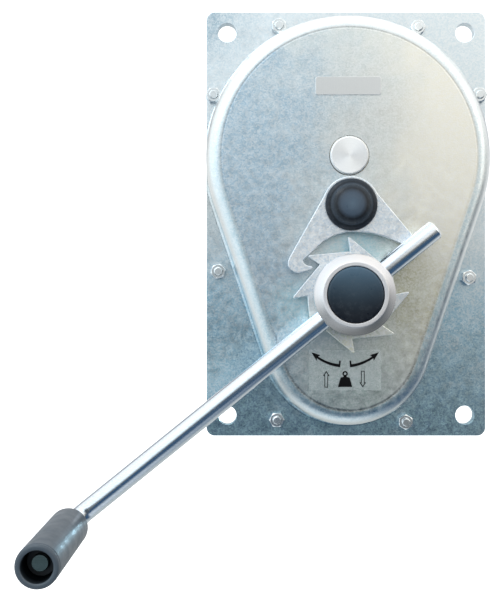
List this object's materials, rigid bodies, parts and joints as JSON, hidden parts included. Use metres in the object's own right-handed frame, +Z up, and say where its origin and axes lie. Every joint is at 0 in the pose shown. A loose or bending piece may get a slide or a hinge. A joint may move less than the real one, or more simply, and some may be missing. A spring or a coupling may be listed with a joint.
{
  "type": "hand winch",
  "caption": "Plate-mounted spur-gear hand winch with a pressed zinc-plated cover, ratchet load brake, sliding crank and rope drum behind the plate.",
  "frame": {"origin": "middle of the base plate's rear face, which lies on the carrier", "axes": "+Z up, +X to the operator's right, -Y forward to the operator; every turning axis is parallel to Y"},
  "size_m": [0.4027, 0.3105, 0.4929],
  "materials": {
    "zinc_plate": "blue-passivated zinc plating, finely speckled, satin",
    "zinc_light": "lighter zinc plating, satin",
    "zinc_fastener": "bright zinc plating",
    "bright_steel": "turned, bare",
    "bright_rod": "bright drawn bar",
    "turned_hub": "turned, satin",
    "gear_steel": "machined steel, greased",
    "dark_spring_steel": "phosphated spring steel",
    "badge_metal": "plain thin plate, satin",
    "bronze_bush": "machined bearing bronze",
    "friction_lining": "pressed friction lining, matt",
    "black_plastic": "moulded, semi-gloss",
    "grey_plastic": "moulded, soft satin",
    "label_film": "thin clear film with printed signs"
  },
  "bodies": {
    "housing": {"base_plate": "zinc_plate", "front_cover": "zinc_plate", "cover_screw_1": "zinc_fastener", "cover_screw_2": "zinc_fastener", "cover_screw_3": "zinc_fastener", "cover_screw_4": "zinc_fastener", "cover_screw_5": "zinc_fastener", "cover_screw_6": "zinc_fastener", "cover_screw_7": "zinc_fastener", "cover_screw_8": "zinc_fastener", "cover_nut_1": "zinc_fastener", "cover_nut_2": "zinc_fastener", "cover_nut_3": "zinc_fastener", "cover_nut_4": "zinc_fastener", "cover_nut_5": "zinc_fastener", "cover_nut_6": "zinc_fastener", "cover_nut_7": "zinc_fastener", "cover_nut_8": "zinc_fastener", "drum_bush_front": "bronze_bush", "drum_bush_rear": "bronze_bush", "pinion_bush_front": "bronze_bush", "pinion_bush_rear": "bronze_bush", "pawl_pin": "bright_steel", "pawl_spacer": "bright_steel", "pawl_spring": "bright_steel", "pawl_washer": "zinc_fastener", "pawl_circlip": "bright_steel", "pawl_cap": "black_plastic", "pictogram_label": "label_film", "blank_plate": "badge_metal"},
    "drum": {"main_shaft": "bright_steel", "main_gear": "gear_steel", "gear_key": "bright_steel", "gear_circlip": "bright_steel", "rope_drum": "zinc_plate", "drum_key": "bright_steel", "drum_circlip": "bright_steel", "rope_clamp": "zinc_fastener", "rope_clamp_screw_1": "zinc_fastener", "rope_clamp_screw_2": "zinc_fastener"},
    "pinion": {"pinion_shaft": "gear_steel", "brake_flange": "bright_steel", "friction_disc_rear": "friction_lining"},
    "ratchet": {"ratchet_wheel": "zinc_light"},
    "pawl": {"pawl": "zinc_light"},
    "hub": {"crank_hub": "turned_hub", "friction_disc_front": "friction_lining", "hub_cap": "black_plastic", "rod_clamp_screw": "bright_steel"},
    "rod": {"crank_rod": "bright_rod", "grip_washer": "dark_spring_steel"},
    "grip": {"crank_grip": "grey_plastic"}
  },
  "joints": [
    {"name": "drum_spin", "type": "hinge", "parent": "housing", "child": "drum", "pos_m": [0, 0, 0.0615], "axis": [0, 1, 0], "continuous": true},
    {"name": "pinion_spin", "type": "hinge", "parent": "housing", "child": "pinion", "pos_m": [0, 0, -0.069], "axis": [0, 1, 0], "continuous": true},
    {"name": "crank_release", "type": "hinge", "parent": "pinion", "child": "hub", "pos_m": [0, -0.07, -0.069], "axis": [0, -1, 0], "range_deg": [0, 20]},
    {"name": "crank_extend", "type": "slide", "parent": "hub", "child": "rod", "axis": [-0.7782, 0, -0.628], "range_m": [-0.12, 0.05]},
    {"name": "grip_spin", "type": "hinge", "parent": "rod", "child": "grip", "pos_m": [-0.25021, -0.15, -0.27089], "axis": [0, 1, 0], "continuous": true},
    {"name": "ratchet_play", "type": "hinge", "parent": "housing", "child": "ratchet", "pos_m": [0, -0.051, -0.069], "axis": [0, 1, 0], "range_deg": [-5, 8]},
    {"name": "pawl_swing", "type": "hinge", "parent": "housing", "child": "pawl", "pos_m": [0, -0.051, 0.014], "axis": [0, 1, 0], "range_deg": [0, 11], "stiffness_Nm_per_rad": 0.05}
  ],
  "couplings": [
    {"joint": "pinion_spin", "follows": "drum_spin", "ratio": -6.9091}
  ]
}
